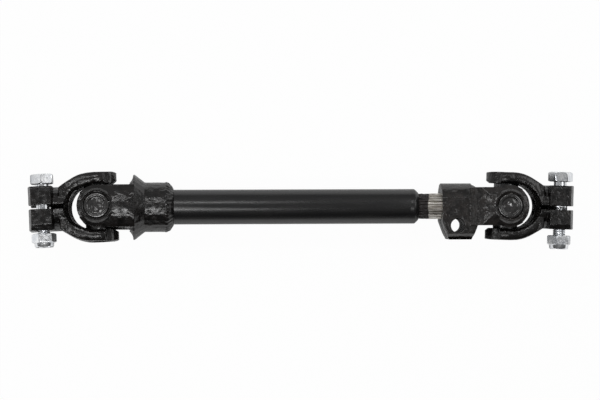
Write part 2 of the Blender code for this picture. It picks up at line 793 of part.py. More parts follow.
def fasteners(prefix, frame, clamp, head_gap, nut_gap, head_turn, nut_turn):
    """A pinch bolt through the lugs, its lock nut, and the ring that locks the nut."""
    toward_head = Matrix.Rotation(-clamp.head_side * math.pi / 2, 4, "X")
    seat = Matrix.Translation((clamp.bolt_place, 0.0, clamp.bolt_height)) @ toward_head
    flat = HEX_ACROSS_FLATS / 2
    round_corner = HEX_ACROSS_FLATS / math.sqrt(3) + 0.2 * MM

    under_head = clamp.lug_half_height + head_gap
    top = under_head + HEAD_HEIGHT
    bolt = turned(
        f"{prefix}_bolt",
        [
            (0.0, top),
            (flat - 0.3 * MM, top),
            (round_corner, top - HEX_CHAMFER),
            (round_corner, under_head + HEX_CHAMFER / 2),
            (flat, under_head),
            (0.0, under_head),
        ],
    )
    head_matrix = seat @ Matrix.Rotation(head_turn, 4, "Z")
    shown(bolt, frame, BRIGHT_ZINC, seat)
    head = hexagon(f"{prefix}_head_hexagon", HEAD_HEIGHT)
    hidden(head, frame, head_matrix @ Matrix.Translation((0.0, 0.0, under_head)))
    boolean(bolt, head, "INTERSECT")
    tip = under_head - BOLT_LENGTH
    shank = turned(
        f"{prefix}_shank",
        [
            (0.0, under_head + HEAD_HEIGHT / 2),
            (BOLT_RADIUS, under_head + HEAD_HEIGHT / 2),
            (BOLT_RADIUS, tip + BOLT_LEAD),
            (BOLT_RADIUS - BOLT_LEAD, tip),
            (0.0, tip),
        ],
        SMALL_SEGMENTS,
    )
    boolean(bolt, hidden(shank, frame, seat), "UNION")

    face = -clamp.lug_half_height - nut_gap
    nut_end = face - NUT_HEIGHT
    collar = nut_end + NUT_COLLAR_HEIGHT
    bore = BOLT_RADIUS + HOLE_CLEARANCE
    ring_radius = bore + LOCK_RING_WALL
    pocket = ring_radius + FITTED_GAP
    ring_floor = nut_end + LOCK_RING_THICKNESS + FITTED_GAP
    nut = turned(
        f"{prefix}_nut",
        [
            (flat, face),
            (round_corner, face - HEX_CHAMFER / 2),
            (round_corner, collar + HEX_CHAMFER),
            (flat, collar),
            (NUT_COLLAR_RADIUS, collar - 0.4 * MM),
            (NUT_COLLAR_RADIUS - 0.3 * MM, nut_end + 0.5 * MM),
            (NUT_COLLAR_RADIUS - 0.8 * MM, nut_end),
            (pocket, nut_end),
            (pocket, ring_floor),
            (bore, ring_floor),
            (bore, face),
        ],
        SMALL_SEGMENTS,
    )
    shown(nut, frame, BRIGHT_ZINC, seat)
    prism = hexagon(f"{prefix}_nut_hexagon", NUT_HEIGHT)
    nut_matrix = seat @ Matrix.Rotation(nut_turn, 4, "Z")
    hidden(prism, frame, nut_matrix @ Matrix.Translation((0.0, 0.0, nut_end)))
    boolean(nut, prism, "INTERSECT")
    ring = turned(
        f"{prefix}_lock_ring",
        [
            (ring_radius, nut_end + LOCK_RING_THICKNESS),
            (ring_radius, nut_end + 0.2 * MM),
            (bore, nut_end + 0.2 * MM),
            (bore, nut_end + LOCK_RING_THICKNESS),
        ],
        SMALL_SEGMENTS,
    )
    shown(ring, frame, NYLON, seat)


def spline_loop(tip_radius, root_radius):
    """A ring of spline teeth: each has a tip land, a root land and two sloped flanks."""
    loop = []
    for tooth in range(SPLINE_COUNT):
        start = 2 * math.pi * tooth / SPLINE_COUNT
        pitch = 2 * math.pi / SPLINE_COUNT
        for share, radius in ((0.06, tip_radius), (0.34, tip_radius), (0.56, root_radius), (0.84, root_radius)):
            angle = start + share * pitch
            loop.append((radius * math.cos(angle), radius * math.sin(angle)))
    return loop


def tube(frame, start, end):
    """The outer tube, open at both ends and rolled down over the spline at the right."""
    inner = TUBE_RADIUS - TUBE_WALL
    mouth = SPLINE_RADIUS + FITTED_GAP
    outline = [
        (start, inner),
        (start, TUBE_RADIUS),
        (end - TUBE_END_CHAMFER, TUBE_RADIUS),
        (end, mouth + TUBE_LIP),
        (end, mouth),
        (end - TUBE_WALL, mouth),
        (end - TUBE_WALL - TUBE_MOUTH_TAPER, inner),
    ]
    profile = [(radius, -along) for along, radius in outline[1:] + outline[:1]]
    body = turned("tube", profile)
    shown(body, frame, BLACK_PAINT, Matrix.Rotation(-math.pi / 2, 4, "Y"))


def splined_shaft(frame, start, end, clamp):
    """The inner shaft, splined from end to end, with the groove that its pinch bolt passes."""
    loop = spline_loop(SPLINE_RADIUS, SPLINE_RADIUS - SPLINE_DEPTH)
    body = extruded("splined_shaft", [loop], start, end, FLAT_YZ)
    shown(body, frame, BARE_STEEL)
    reach = 2 * SPLINE_RADIUS
    centre = (JOINT_SPACING / 2 - clamp.bolt_place, -clamp.bolt_height, 0.0)
    groove = rod("bolt_groove", BOLT_RADIUS + HOLE_CLEARANCE, -reach, reach, "Z", centre, SMALL_SEGMENTS)
    boolean(body, hidden(groove, frame), "DIFFERENCE")


def sliding_sleeve(frame, end):
    """The nylon sleeve that is fixed in the tube and slides on the spline."""
    outer = TUBE_RADIUS - TUBE_WALL - FITTED_GAP
    outside = arc((0.0, 0.0), outer, 0, 360, 2 * SPLINE_COUNT)[:-1]
    inside = spline_loop(SPLINE_RADIUS + FITTED_GAP, SPLINE_RADIUS - SPLINE_DEPTH + FITTED_GAP)
    body = extruded("sliding_sleeve", [outside, inside], end - SLEEVE_LENGTH, end, FLAT_YZ)
    shown(body, frame, NYLON)


def stand_on_ground(root):
    """Move the whole shaft so that it lies on Z=0 with its box centred on the origin."""
    depsgraph = bpy.context.evaluated_depsgraph_get()
    corners = []
    for piece in PARTS.objects:
        if piece.type == "MESH":
            evaluated = piece.evaluated_get(depsgraph)
            matrix = evaluated.matrix_world
            corners += [matrix @ vertex.co for vertex in evaluated.data.vertices]
    low = Vector([min(corner[axis] for corner in corners) for axis in range(3)])
    high = Vector([max(corner[axis] for corner in corners) for axis in range(3)])
    centre = (low + high) / 2
    root.location = (-centre.x, -centre.y, -low.z)


def build():
    root = frame_empty("shaft_axis", None)
    half = JOINT_SPACING / 2
    about_x = Matrix.Rotation(-JOINT_PHASE, 4, "X")
    left_joint = frame_empty("left_joint", root, (-half, 0.0, 0.0), about_x)
    left_swing = frame_empty("left_swing", left_joint, turn=Matrix.Rotation(LEFT_FLEX, 4, "Z"))
    right_joint = frame_empty("right_joint", root, (half, 0.0, 0.0))
    right_swing = frame_empty("right_swing", right_joint, turn=Matrix.Rotation(RIGHT_FLEX, 4, "Z"))

    backward = Matrix.Rotation(math.pi, 4, "Z")
    left_clamp = frame_empty("left_clamp_frame", left_swing, turn=backward)
    right_clamp = frame_empty("right_clamp_frame", right_swing)
    ears_to_z = Matrix.Rotation(math.pi / 2, 4, "X")
    tube_frame = frame_empty("tube_yoke_frame", left_joint, turn=ears_to_z)
    shaft_frame = frame_empty("shaft_yoke_frame", right_joint, turn=backward @ ears_to_z.inverted())

    clamp_yoke("left_clamp_yoke", left_clamp, LEFT_CLAMP_FORK, TUBE_FORK, LEFT_CLAMP)
    clamp_yoke("right_clamp_yoke", right_clamp, RIGHT_CLAMP_FORK, SHAFT_FORK, RIGHT_CLAMP)
    tube_yoke("tube_yoke", tube_frame, TUBE_FORK, LEFT_CLAMP_FORK)
    clamp_yoke("shaft_yoke", shaft_frame, SHAFT_FORK, RIGHT_CLAMP_FORK, SHAFT_CLAMP, dressed=True)

    universal_joint("left", left_joint, left_swing, TUBE_FORK, LEFT_CLAMP_FORK)
    universal_joint("right", right_joint, right_swing, SHAFT_FORK, RIGHT_CLAMP_FORK)
    fasteners("left", left_clamp, LEFT_CLAMP, LEFT_HEAD_GAP, LEFT_NUT_GAP, LEFT_HEAD_TURN, LEFT_NUT_TURN)
    fasteners(
        "right", right_clamp, RIGHT_CLAMP, RIGHT_HEAD_GAP, RIGHT_NUT_GAP, RIGHT_HEAD_TURN, RIGHT_NUT_TURN
    )

    tube_start = WELD_END + FITTED_GAP - half
    sleeve_end = TUBE_END_PLACE - TUBE_WALL - TUBE_MOUTH_TAPER - FITTED_GAP
    tube(root, tube_start, TUBE_END_PLACE)
    sliding_sleeve(root, sleeve_end)
    shaft_end = half - SHAFT_FORK.saddle_radius - SHAFT_END_ROOM
    splined_shaft(root, TUBE_END_PLACE - SHAFT_ENGAGEMENT, shaft_end, SHAFT_CLAMP)
    stand_on_ground(root)


build()
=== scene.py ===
import json
import math

import bmesh
import bpy
import numpy as np
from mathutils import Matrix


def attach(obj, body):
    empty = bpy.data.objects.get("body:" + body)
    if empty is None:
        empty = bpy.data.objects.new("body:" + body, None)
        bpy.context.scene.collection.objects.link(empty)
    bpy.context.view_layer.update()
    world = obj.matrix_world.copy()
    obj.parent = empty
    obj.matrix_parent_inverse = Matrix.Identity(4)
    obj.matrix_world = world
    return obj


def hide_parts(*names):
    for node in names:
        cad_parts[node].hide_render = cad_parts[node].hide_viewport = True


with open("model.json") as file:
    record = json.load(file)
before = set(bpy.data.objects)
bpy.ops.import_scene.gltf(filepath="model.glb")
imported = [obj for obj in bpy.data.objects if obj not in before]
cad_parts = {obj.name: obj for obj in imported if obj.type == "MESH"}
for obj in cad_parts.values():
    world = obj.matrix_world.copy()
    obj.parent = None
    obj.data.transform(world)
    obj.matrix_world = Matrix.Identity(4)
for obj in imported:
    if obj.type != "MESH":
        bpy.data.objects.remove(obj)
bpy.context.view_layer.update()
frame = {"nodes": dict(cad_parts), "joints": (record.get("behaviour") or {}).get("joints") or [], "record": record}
joints = {joint["name"]: joint for joint in frame["joints"]}
mounts = {mount["name"]: mount for mount in frame["record"]["mounts"]}


# The tube yoke: a steel drop forging with two ears, turned behind them to a flange, a cone and
# a barrel, and welded all round to the tube. Its edges are blunt and its black paint lies over
# a rough forged skin.
MM = 0.001
MERGE_DISTANCE = 0.001 * MM
FORGED_GRAIN = 0.36 * MM
CRISP_ROUNDS = 4
SOFT_ROUNDS = 18
SMOOTHING = (0.5, -0.515)
SOFT_FADE = 3.0 * MM
WAVES = 8
WAVE_SPREAD = (0.7, 1.5)
FORGED_LUMP = 0.09 * MM
BIG_LUMP, BIG_SHARE = 7 * MM, 0.7
SMALL_LUMP, SMALL_SHARE = 2.4 * MM, 0.3
EAR_FACE = 18.5 * MM
EAR_ROUND = 20.8 * MM
BOSS_RADIUS = 9.2 * MM
BOSS_FADE = 0.8 * MM
TUBE_EAR = 12.4 * MM
TIP_BAND = 0.5 * MM
TIP_END = 2.0 * MM
STAKES = 4
STAKE_PLACE = 8.3 * MM
STAKE_DEPTH = 0.45 * MM
STAKE_WIDTH = 0.7 * MM
STAKE_LENGTH = 1.1 * MM
WELD = (40.6 * MM, 46.6 * MM)
WELD_FLOOR = 10.3 * MM
WELD_EDGE = 0.7
WELD_BULGE = 0.6 * MM
WELD_RIPPLE = 0.5 * MM
WELD_RIPPLES = 34
WELD_SKEW = 2.2
RIPPLE_MEAN = 0.6
RIPPLE_WANDER, WANDER_SIZE, WANDER_SEED = 1.2, 9 * MM, 41
WELD_LUMP, WELD_LUMP_SIZE, WELD_LUMP_SEED = 1.7, 2.8 * MM, 43
SOFT_TO = 21.0 * MM


def axes(centre, along, up):
    """A frame of its own for a yoke or a bearing: its centre, and unit vectors along x, y and z.

    x runs along the stem or arm, y is `up` made square to it, and z is their cross product.
    """
    x = np.array(along, float)
    x /= np.linalg.norm(x)
    y = np.array(up, float)
    y -= x * (x @ y)
    y /= np.linalg.norm(y)
    return np.array(centre, float), np.stack([x, y, np.cross(x, y)])


def inside(points, place):
    """World points given in the frame `place`: offsets from its centre, dotted with its axes."""
    centre, basis = place
    return (points - centre) @ basis.T


def outside(points, place):
    """Points of the frame `place` in world axes: its axes, weighted by them, plus its centre."""
    centre, basis = place
    return centre + points @ basis


def waves(points, size, seed):
    """Smooth lumps between -1 and 1: sine waves in fixed random directions, averaged."""
    chance = np.random.default_rng(seed)
    heading = chance.normal(size=(WAVES, 3))
    heading /= np.linalg.norm(heading, axis=1, keepdims=True)
    length = size * chance.uniform(*WAVE_SPREAD, WAVES)
    start = chance.uniform(0.0, 2 * np.pi, WAVES)
    return np.sin(points @ (heading / length[:, None]).T * 2 * np.pi + start).mean(axis=1)


def relaxed(points, edges, rounds):
    """Each point moves halfway to the mean of its neighbours, then a little more than back.

    The second step undoes the shrinking of the first, so that edges turn blunt and flats stay.
    """
    count = len(points)
    ends = np.concatenate([edges, edges[:, ::-1]])
    neighbours = np.bincount(ends[:, 0], minlength=count)[:, None]
    for share in SMOOTHING * rounds:
        total = np.stack(
            [np.bincount(ends[:, 0], points[ends[:, 1], axis], count) for axis in range(3)], axis=1
        )
        points = points + share * (total / neighbours - points)
    return points


def mesh_arrays(mesh):
    """A mesh's points, edges and point normals as arrays."""
    points = np.empty(len(mesh.vertices) * 3)
    mesh.vertices.foreach_get("co", points)
    edges = np.empty(len(mesh.edges) * 2, int)
    mesh.edges.foreach_get("vertices", edges)
    normals = np.empty(len(mesh.vertices) * 3, np.float32)
    mesh.vertex_normals.foreach_get("vector", normals)
    return points.reshape(-1, 3), edges.reshape(-1, 2), normals.reshape(-1, 3)


def move_points(mesh, points):
    """Put a mesh's points at new places."""
    mesh.vertices.foreach_set("co", points.ravel())
    mesh.update()


def linked(name, mesh):
    """A new object in the scene that shows a mesh."""
    piece = bpy.data.objects.new(name, mesh)
    bpy.context.collection.objects.link(piece)
    return piece


def node_points(node):
    """The points of a CAD node, which are world points because every node lies at the origin."""
    return mesh_arrays(frame["nodes"][node].data)[0]


def reshape(piece, place, *changes):
    """Move a piece's points: each change takes and returns them in the frame `place`."""
    local = inside(mesh_arrays(piece.data)[0], place)
    for change in changes:
        local = change(local)
    move_points(piece.data, outside(local, place))


def evenly_meshed(name, node):
    """A CAD node's solid, merged and then rebuilt in fine faces of one size."""
    source = bmesh.new()
    source.from_mesh(frame["nodes"][node].data)
    bmesh.ops.remove_doubles(source, verts=source.verts, dist=MERGE_DISTANCE)
    mesh = bpy.data.meshes.new(name)
    source.to_mesh(mesh)
    source.free()
    rough = linked(name + "_rough", mesh)
    remesh = rough.modifiers.new("even_faces", "REMESH")
    remesh.mode = "VOXEL"
    remesh.voxel_size = FORGED_GRAIN
    remesh.use_smooth_shade = True
    finished = rough.evaluated_get(bpy.context.evaluated_depsgraph_get())
    even = bpy.data.meshes.new_from_object(finished)
    bpy.data.objects.remove(rough)
    even.name = name
    return linked(name, even)


def forging(name, node, place, soft_to, seed, cuts=(), marks=()):
    """The skin of a forging: the node's solid in fine even faces, with blunt edges and low lumps.

    Its edges are much rounder below x = `soft_to` in `place`, at the ears, than on the hub.
    `cuts` move its points before the edges are blunted, `marks` after; both work in `place`.
    """
    piece = evenly_meshed(name, node)
    reshape(piece, place, *cuts)
    points, edges, _ = mesh_arrays(piece.data)
    crisp = relaxed(points, edges, CRISP_ROUNDS)
    soft = relaxed(crisp, edges, SOFT_ROUNDS)
    share = np.clip((soft_to - inside(crisp, place)[:, 0]) / SOFT_FADE, 0.0, 1.0)[:, None]
    move_points(piece.data, crisp + (soft - crisp) * share)
    points, _, normals = mesh_arrays(piece.data)
    lump = BIG_SHARE * waves(points, BIG_LUMP, seed)
    lump += SMALL_SHARE * waves(points, SMALL_LUMP, seed + 1)
    points += normals * (FORGED_LUMP * lump)[:, None]
    solid = node_points(node)
    move_points(piece.data, np.clip(points, solid.min(axis=0), solid.max(axis=0)))
    reshape(piece, place, *marks)
    return piece


def rounded_tips(radius):
    """The round ends of the ears: points near the cylinder of `radius` about y go onto it."""

    def change(local):
        reach = np.hypot(local[:, 0], local[:, 2])
        tips = (np.abs(reach - radius) < TIP_BAND) & (local[:, 0] < TIP_END)
        tips &= np.abs(local[:, 1]) > EAR_FACE / 2
        moved = local.copy()
        moved[:, [0, 2]] *= np.where(tips, radius / np.maximum(reach, MM), 1.0)[:, None]
        return moved

    return change


def round_ears(local):
    """Beyond the flat round each cup, an ear follows a cylinder about x: |y| <= sqrt(R^2 - z^2)."""
    reach = np.hypot(local[:, 0], local[:, 2])
    beyond = np.clip((reach - BOSS_RADIUS) / BOSS_FADE, 0.0, 1.0)
    barrel = np.sqrt(np.maximum(EAR_ROUND ** 2 - local[:, 2] ** 2, 0.0))
    height = np.abs(local[:, 1])
    lowered = np.where(height > EAR_FACE / 2, np.minimum(height, barrel), height)
    moved = local.copy()
    moved[:, 1] = np.sign(local[:, 1]) * (height + (lowered - height) * beyond)
    return moved


def stake_ears(local):
    """Dents beside each cup where the ear was staked: a bell-shaped pit at each of four angles."""
    reach = np.hypot(local[:, 0], local[:, 2])
    turn = 2 * np.pi / STAKES
    off = np.arctan2(local[:, 2], local[:, 0]) % turn - turn / 2
    bell = np.exp(-(((reach - STAKE_PLACE) / STAKE_WIDTH) ** 2) - (off * reach / STAKE_LENGTH) ** 2)
    faces = np.abs(local[:, 1]) > EAR_FACE
    moved = local.copy()
    moved[:, 1] -= np.sign(local[:, 1]) * STAKE_DEPTH * bell * faces
    return moved


def ripple_weld(low, high):
    """Overlapping ripples round the weld: the radius follows |sin| of the angle, skewed along x.

    Smooth waves shift the ripples round the tube and raise some of them above the others.
    """

    def change(local):
        reach = np.hypot(local[:, 1], local[:, 2])
        angle = np.arctan2(local[:, 2], local[:, 1])
        share = np.clip((local[:, 0] - low) / (high - low), 0.0, 1.0)
        strength = np.sin(np.pi * share) ** WELD_EDGE * (reach > WELD_FLOOR)
        wander = RIPPLE_WANDER * waves(local, WANDER_SIZE, WANDER_SEED)
        phase = angle * WELD_RIPPLES / 2 + WELD_SKEW * (share - 0.5) ** 2 + wander
        height = np.abs(np.sin(phase)) - RIPPLE_MEAN
        height += WELD_LUMP * waves(local, WELD_LUMP_SIZE, WELD_LUMP_SEED)
        grow = 1 + strength * (WELD_BULGE + WELD_RIPPLE * height) / np.maximum(reach, MM)
        moved = local.copy()
        moved[:, 1:] *= grow[:, None]
        return moved

    return change


def shader(name):
    """A new material, its node tree and its Principled shader."""
    material = bpy.data.materials.new(name)
    material.use_nodes = True
    return material, material.node_tree, material.node_tree.nodes["Principled BSDF"]


def noise(tree, size, detail=3.0, stretch=(1.0, 1.0, 1.0)):
    """The output of a noise whose features are about `size` across, stretched along the axes."""
    where = tree.nodes.new("ShaderNodeTexCoord")
    scaled = tree.nodes.new("ShaderNodeMapping")
    scaled.inputs["Scale"].default_value = [1.0 / share for share in stretch]
    texture = tree.nodes.new("ShaderNodeTexNoise")
    texture.inputs["Scale"].default_value = 1.0 / size
    texture.inputs["Detail"].default_value = detail
    tree.links.new(where.outputs["Object"], scaled.inputs["Vector"])
    tree.links.new(scaled.outputs["Vector"], texture.inputs["Vector"])
    return texture.outputs["Fac"]


def ranged(tree, value, low, high, start=0.35, end=0.65):
    """A value between `start` and `end` spread over `low` to `high`."""
    spread = tree.nodes.new("ShaderNodeMapRange")
    spread.inputs["From Min"].default_value = start
    spread.inputs["From Max"].default_value = end
    spread.inputs["To Min"].default_value = low
    spread.inputs["To Max"].default_value = high
    tree.links.new(value, spread.inputs["Value"])
    return spread.outputs["Result"]


def mixed(tree, value, dark, light, start=0.35, end=0.65):
    """A colour between two, chosen by a value between `start` and `end`."""
    ramp = tree.nodes.new("ShaderNodeValToRGB")
    ramp.color_ramp.elements[0].position = start
    ramp.color_ramp.elements[0].color = (*dark, 1.0)
    ramp.color_ramp.elements[1].position = end
    ramp.color_ramp.elements[1].color = (*light, 1.0)
    tree.links.new(value, ramp.inputs["Fac"])
    return ramp.outputs["Color"]


def bumped(tree, surface, height, depth, under=None):
    """Raise a surface by `height` times `depth`, over another bump if there is one."""
    bump = tree.nodes.new("ShaderNodeBump")
    bump.inputs["Distance"].default_value = depth
    tree.links.new(height, bump.inputs["Height"])
    if under:
        tree.links.new(under, bump.inputs["Normal"])
    tree.links.new(bump.outputs["Normal"], surface.inputs["Normal"])
    return bump.outputs["Normal"]


def forged_paint(name, dark, dusty):
    """Thin semi-gloss black paint over a forged skin: brownish dusty blotches and soft lumps."""
    material, tree, surface = shader(name)
    blotch = noise(tree, 3.5 * MM, detail=6.0)
    tree.links.new(mixed(tree, blotch, dark, dusty), surface.inputs["Base Color"])
    patch = noise(tree, 3.0 * MM, detail=4.0)
    tree.links.new(ranged(tree, patch, low=0.13, high=0.34), surface.inputs["Roughness"])
    surface.inputs["Specular IOR Level"].default_value = 0.5
    lumps = bumped(tree, surface, noise(tree, 4.0 * MM, detail=2.0), depth=0.6 * MM)
    bumped(tree, surface, noise(tree, 1.1 * MM), depth=0.045 * MM, under=lumps)
    return material


def dress(piece, material, body, node):
    """Give a piece its material, let it ride on its body and stand for its CAD node."""
    piece.data.materials.clear()
    piece.data.materials.append(material)
    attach(piece, body)
    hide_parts(node)


left_centre = joints["left_cross_swing"]["pos_m"]
right_centre = joints["right_cross_swing"]["pos_m"]
tube_yoke_place = axes(left_centre, (1.0, 0.0, 0.0), joints["left_cross_swing"]["axis"])
FORGED_PAINT = forged_paint(
    "forged_paint", dark=(0.001, 0.0009, 0.0009), dusty=(0.007, 0.0056, 0.005)
)

tube_yoke = forging(
    "tube_yoke_forging", "tube_yoke", tube_yoke_place, SOFT_TO, seed=1,
    cuts=[rounded_tips(TUBE_EAR), round_ears], marks=[stake_ears, ripple_weld(*WELD)],
)
dress(tube_yoke, FORGED_PAINT, "tube_body", "tube_yoke")


# The bearing cups: eight deep-drawn steel cups pressed into the ears and staked there. Each has a
# raised rim and a dished, lumpy end, and is painted over with its yoke.
CUP_RINGS = 20
CUP_RING = 0.25 * MM
CUP_DISH = 5.1 * MM
CUP_DISH_DEPTH = 0.75 * MM
CUP_WALL = 1.1 * MM
CUP_END_WALL = 1.8 * MM
CUP_LUMP = 0.5 * MM
CUP_LUMP_SIZE = 4.2 * MM
CUP_LUMP_LIFT = 0.1
CUP_LUMP_TOP = 0.5
CUP_LUMP_FADE = 1.2 * MM
CUP_LUMP_BELOW = 0.3 * MM
CUP_SEEDS = {"left": 51, "right": 57}


def skin(name, grid, ring, crease=38.0):
    """A closed mesh over a grid of points: each row joins the next, and each row closes round.

    A ring joins its last row to its first. Points that fall together at a pole are merged.
    Edges that bend by more than `crease` degrees stay sharp.
    """
    rows, steps = grid.shape[:2]
    index = np.arange(rows * steps).reshape(rows, steps)
    lower = index if ring else index[:-1]
    upper = np.roll(index, -1, axis=0) if ring else index[1:]
    corners = [lower, np.roll(lower, -1, axis=1), np.roll(upper, -1, axis=1), upper]
    quads = np.stack(corners, axis=-1).reshape(-1, 4)
    mesh = bpy.data.meshes.new(name)
    mesh.from_pydata(grid.reshape(-1, 3), [], quads.tolist())
    shape = bmesh.new()
    shape.from_mesh(mesh)
    bmesh.ops.remove_doubles(shape, verts=shape.verts, dist=MERGE_DISTANCE / 2)
    bmesh.ops.recalc_face_normals(shape, faces=shape.faces)
    shape.to_mesh(mesh)
    shape.free()
    mesh.shade_smooth()
    mesh.set_sharp_from_angle(angle=math.radians(crease))
    return linked(name, mesh)


def turned(name, profile, place, ring, steps=96, outline=None):
    """A profile of (along, reach) rows turned about the x axis of `place`.

    A point lies at (along, r cos t, r sin t), where r is the row's reach, or `outline` of the
    angle t where that is less. `outline` may hold one reach for each angle, or a grid of them.
    """
    profile = np.array(profile, float)
    angle = np.arange(steps) * 2 * np.pi / steps
    reach = np.repeat(profile[:, 1:], steps, axis=1)
    if outline is not None:
        reach = np.minimum(reach, outline)
    along = np.repeat(profile[:, :1], steps, axis=1)
    local = np.stack([along, reach * np.cos(angle), reach * np.sin(angle)], axis=-1)
    return skin(name, outside(local, place), ring)


def span(node, place):
    """The least and the greatest coordinate of a CAD node along each axis of `place`."""
    local = inside(node_points(node), place)
    return local.min(axis=0), local.max(axis=0)


def lumpy_end(face, seed):
    """The cup's dished end is lumpy from the press: within the dish, x moves by smooth waves."""

    def change(local):
        reach = np.hypot(local[:, 1], local[:, 2])
        dish = np.clip((CUP_DISH - reach) / CUP_LUMP_FADE, 0.0, 1.0) * (local[:, 0] > face)
        lump = np.minimum(waves(local, CUP_LUMP_SIZE, seed) + CUP_LUMP_LIFT, CUP_LUMP_TOP)
        moved = local.copy()
        moved[:, 0] += CUP_LUMP * dish * lump
        return moved

    return change


def cup_paint():
    """Black paint over a drawn steel cup: smoother than the forging's, with soft blotches."""
    material, tree, surface = shader("cup_paint")
    blotch = noise(tree, 1.8 * MM, detail=4.0)
    tone = mixed(tree, blotch, dark=(0.006, 0.0055, 0.0055), light=(0.018, 0.0165, 0.0155))
    tree.links.new(tone, surface.inputs["Base Color"])
    gloss = ranged(tree, noise(tree, 1.6 * MM), low=0.1, high=0.22)
    tree.links.new(gloss, surface.inputs["Roughness"])
    surface.inputs["Specular IOR Level"].default_value = 0.9
    bumped(tree, surface, noise(tree, 1.9 * MM, detail=2.0), depth=0.14 * MM)
    return material


def arm_places(side, centre):
    """The frames of a joint's four arms: x outward along the arm, y toward the tube's right end."""
    cross = np.array(joints[side + "_cross_swing"]["axis"])
    clamp = np.array(joints[side + "_clamp_swing"]["axis"])
    ways = {"front": cross, "rear": -cross, "top": clamp, "bottom": -clamp}
    return {arm: axes(centre, way, (1.0, 0.0, 0.0)) for arm, way in ways.items()}


CUP_PAINT = cup_paint()
INNER_BODY = {"left": "tube_body", "right": "shaft_body"}
OUTER_BODY = {"left": "left_clamp_body", "right": "right_clamp_body"}
for side, centre in (("left", left_centre), ("right", right_centre)):
    for arm, place in arm_places(side, centre).items():
        node = f"{side}_cup_{arm}"
        low, high = span(node, place)
        mouth, top = low[0], high[0]
        rim = high[1:].max()
        floor = top - CUP_DISH_DEPTH
        # The rows run from the middle of the dish over the rim to the mouth, and back inside.
        profile = [(floor, step * CUP_RING) for step in range(CUP_RINGS)]
        profile += [
            (floor + 0.15 * MM, CUP_DISH),
            (top - 0.2 * MM, CUP_DISH + 0.35 * MM),
            (top - 0.05 * MM, CUP_DISH + 0.65 * MM),
            (top, CUP_DISH + 0.95 * MM),
            (top - 0.07 * MM, rim - 0.6 * MM),
            (top - 0.22 * MM, rim - 0.25 * MM),
            (top - 0.45 * MM, rim - 0.05 * MM),
            (top - 0.6 * MM, rim),
            (mouth, rim),
            (mouth, rim - CUP_WALL),
            (top - CUP_END_WALL, rim - CUP_WALL),
            (top - CUP_END_WALL, 0.0),
        ]
        cup = turned(f"{side}_{arm}_bearing_cup", profile, place, ring=False)
        reshape(cup, place, lumpy_end(floor - CUP_LUMP_BELOW, CUP_SEEDS[side]))
        body = INNER_BODY[side] if arm in ("front", "rear") else OUTER_BODY[side]
        dress(cup, CUP_PAINT, body, node)


# The crosses, needles and seals: a forged and ground steel cross in each joint, a full ring of
# needles in each cup, and a black rubber seal at each cup's mouth. They show only in the gaps.
def ground_steel():
    """Bare steel with an oily grey film: ground streaks and darker stains."""
    material, tree, surface = shader("ground_steel")
    stain = noise(tree, 3.0 * MM, detail=5.0)
    tone = mixed(tree, stain, dark=(0.16, 0.15, 0.135), light=(0.44, 0.43, 0.41))
    tree.links.new(tone, surface.inputs["Base Color"])
    surface.inputs["Metallic"].default_value = 1.0
    streak = noise(tree, 0.5 * MM, stretch=(12.0, 1.0, 1.0))
    tree.links.new(ranged(tree, streak, low=0.28, high=0.5), surface.inputs["Roughness"])
    bumped(tree, surface, streak, depth=0.02 * MM)
    return material


def seal_rubber():
    """Matt black rubber with a fine mould grain and a little grey dust."""
    material, tree, surface = shader("seal_rubber")
    dust = noise(tree, 1.5 * MM, detail=4.0)
    tone = mixed(tree, dust, dark=(0.01, 0.01, 0.01), light=(0.03, 0.029, 0.028))
    tree.links.new(tone, surface.inputs["Base Color"])
    tree.links.new(ranged(tree, dust, low=0.6, high=0.8), surface.inputs["Roughness"])
    bumped(tree, surface, noise(tree, 0.3 * MM, detail=2.0), depth=0.03 * MM)
    return material


def paint_node(node, material):
    """A CAD node that needs no new shape gets its finish."""
    mesh = frame["nodes"][node].data
    mesh.materials.clear()
    mesh.materials.append(material)


GROUND_STEEL = ground_steel()
SEAL_RUBBER = seal_rubber()
for node in frame["nodes"]:
    if "needles" in node or "cross" in node:
        paint_node(node, GROUND_STEEL)
    elif "seal" in node:
        paint_node(node, SEAL_RUBBER)


# The tube: a drawn steel tube under smooth gloss black paint. Its right end is rolled down over
# the splined shaft, behind two faint rings that the rolling left.
TUBE_STEPS = 160
TUBE_WALL = 1.5 * MM
TUBE_EDGE = 0.2 * MM
TUBE_LAP = 0.4 * MM
TUBE_MOUTH = 8.1 * MM
TUBE_LIP = 0.3 * MM
TUBE_TAPER = 1.2 * MM
TUBE_ROLL = 2.3 * MM
ROLL_ROWS = 9
ROLL_CURVE = 1.2
RING_PLACES = (5.1 * MM, 4.4 * MM)
RING_DEPTH = 0.05 * MM
RING_HALF_WIDTH = 0.16 * MM


def tube_gloss():
    """Smooth gloss black paint on a drawn tube: long faint draw marks and a fine orange peel."""
    material, tree, surface = shader("tube_gloss")
    haze = noise(tree, 4.0 * MM, stretch=(8.0, 1.0, 1.0))
    tone = mixed(tree, haze, dark=(0.0065, 0.0065, 0.007), light=(0.01, 0.0098, 0.0098))
    tree.links.new(tone, surface.inputs["Base Color"])
    tree.links.new(ranged(tree, haze, low=0.24, high=0.29), surface.inputs["Roughness"])
    surface.inputs["Specular IOR Level"].default_value = 0.5
    grain = noise(tree, 1.6 * MM, detail=2.0, stretch=(2.0, 1.0, 1.0))
    peel = bumped(tree, surface, grain, depth=0.02 * MM)
    draw_marks = noise(tree, 0.6 * MM, detail=2.0, stretch=(30.0, 1.0, 1.0))
    bumped(tree, surface, draw_marks, depth=0.008 * MM, under=peel)
    return material


